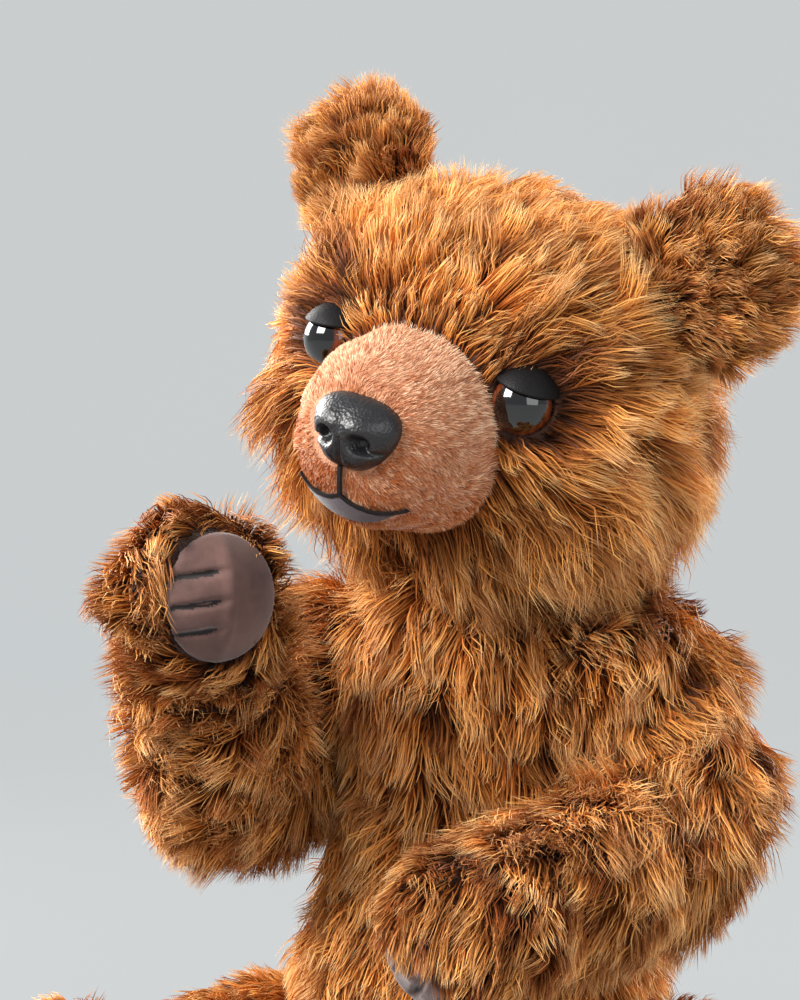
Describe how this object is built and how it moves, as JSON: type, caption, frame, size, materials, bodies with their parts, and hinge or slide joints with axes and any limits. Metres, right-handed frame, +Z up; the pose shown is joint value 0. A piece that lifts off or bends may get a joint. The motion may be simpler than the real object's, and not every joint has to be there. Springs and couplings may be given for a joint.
{
  "type": "jointed teddy bear",
  "caption": "Seated plush bear with long brown fur, moulded nose and hooded eyes; limbs turn on disc joints and the head on a tilted double neck joint.",
  "frame": {"origin": "centre of the flat seat under the torso, on the surface that the bear sits on", "axes": "+Z up, the torso faces -Y, +X is the bear's own left"},
  "size_m": [0.224, 0.1865, 0.3132],
  "materials": {
    "long_pile": "long two-tone fur pile on knitted backing",
    "short_pile": "short clipped plush",
    "pad_suede": "matte brown suede",
    "lip_suede": "matte charcoal suede",
    "neck_cloth": "plain brown cotton",
    "stuffing": "loose polyester fibre",
    "nose_plastic": "black moulded plastic, pebbled, half gloss",
    "eye_gloss": "black pupil with a dark red-brown ring under a clear dome",
    "lid_plastic": "charcoal moulded plastic",
    "washer_plastic": "white nylon",
    "hardboard": "pressed hardboard",
    "plated_steel": "zinc-plated steel",
    "black_thread": "thick waxed cotton thread"
  },
  "bodies": {
    "torso": {"left_hip_torso_board": "hardboard", "left_shoulder_torso_board": "hardboard", "right_hip_torso_board": "hardboard", "right_shoulder_torso_board": "hardboard", "torso_cover": "long_pile", "torso_neck_board": "hardboard", "torso_stuffing": "stuffing"},
    "neck": {"neck_lower_bolt": "plated_steel", "neck_lower_lock_nut": "plated_steel", "neck_plug": "neck_cloth", "neck_upper_bolt": "plated_steel", "neck_upper_lock_nut": "plated_steel", "neck_washers": "plated_steel"},
    "head": {"eye_lock_washers": "plated_steel", "head_cover": "long_pile", "head_neck_board": "hardboard", "head_stuffing": "stuffing", "left_ear": "long_pile", "left_eye": "eye_gloss", "left_eyelid": "lid_plastic", "lower_lip": "lip_suede", "mouth_thread": "black_thread", "muzzle_cover": "short_pile", "muzzle_stuffing": "stuffing", "nose": "nose_plastic", "nose_lock_washer": "washer_plastic", "right_ear": "long_pile", "right_eye": "eye_gloss", "right_eyelid": "lid_plastic"},
    "left_arm": {"left_arm_cover": "long_pile", "left_arm_stuffing": "stuffing", "left_paw_pad": "pad_suede", "left_shoulder_bolt": "plated_steel", "left_shoulder_limb_board": "hardboard", "left_shoulder_lock_nut": "plated_steel", "left_shoulder_washers": "plated_steel"},
    "right_arm": {"right_arm_cover": "long_pile", "right_arm_stuffing": "stuffing", "right_paw_pad": "pad_suede", "right_shoulder_bolt": "plated_steel", "right_shoulder_limb_board": "hardboard", "right_shoulder_lock_nut": "plated_steel", "right_shoulder_washers": "plated_steel"},
    "left_leg": {"left_foot_pad": "pad_suede", "left_hip_bolt": "plated_steel", "left_hip_limb_board": "hardboard", "left_hip_lock_nut": "plated_steel", "left_hip_washers": "plated_steel", "left_leg_cover": "long_pile", "left_leg_stuffing": "stuffing"},
    "right_leg": {"right_foot_pad": "pad_suede", "right_hip_bolt": "plated_steel", "right_hip_limb_board": "hardboard", "right_hip_lock_nut": "plated_steel", "right_hip_washers": "plated_steel", "right_leg_cover": "long_pile", "right_leg_stuffing": "stuffing"}
  },
  "joints": [
    {"name": "neck_base_turn", "type": "hinge", "parent": "torso", "child": "neck", "pos_m": [0, -0.003, 0.176], "axis": [0, 0, 1], "range_deg": [-25, 25]},
    {"name": "head_swivel", "type": "hinge", "parent": "neck", "child": "head", "pos_m": [0, -0.003, 0.19], "axis": [0.2826, -0.2444, 0.9276], "range_deg": [-32, 32]},
    {"name": "left_shoulder_turn", "type": "hinge", "parent": "torso", "child": "left_arm", "pos_m": [0.032, -0.003, 0.146], "axis": [1, 0, 0], "range_deg": [-45, 18]},
    {"name": "right_shoulder_turn", "type": "hinge", "parent": "torso", "child": "right_arm", "pos_m": [-0.032, -0.003, 0.146], "axis": [1, 0, 0], "range_deg": [-12, 50]},
    {"name": "left_hip_turn", "type": "hinge", "parent": "torso", "child": "left_leg", "pos_m": [0.044, -0.006, 0.026], "axis": [1, 0, 0], "range_deg": [-20, 90]},
    {"name": "right_hip_turn", "type": "hinge", "parent": "torso", "child": "right_leg", "pos_m": [-0.044, -0.006, 0.026], "axis": [1, 0, 0], "range_deg": [-20, 90]}
  ]
}
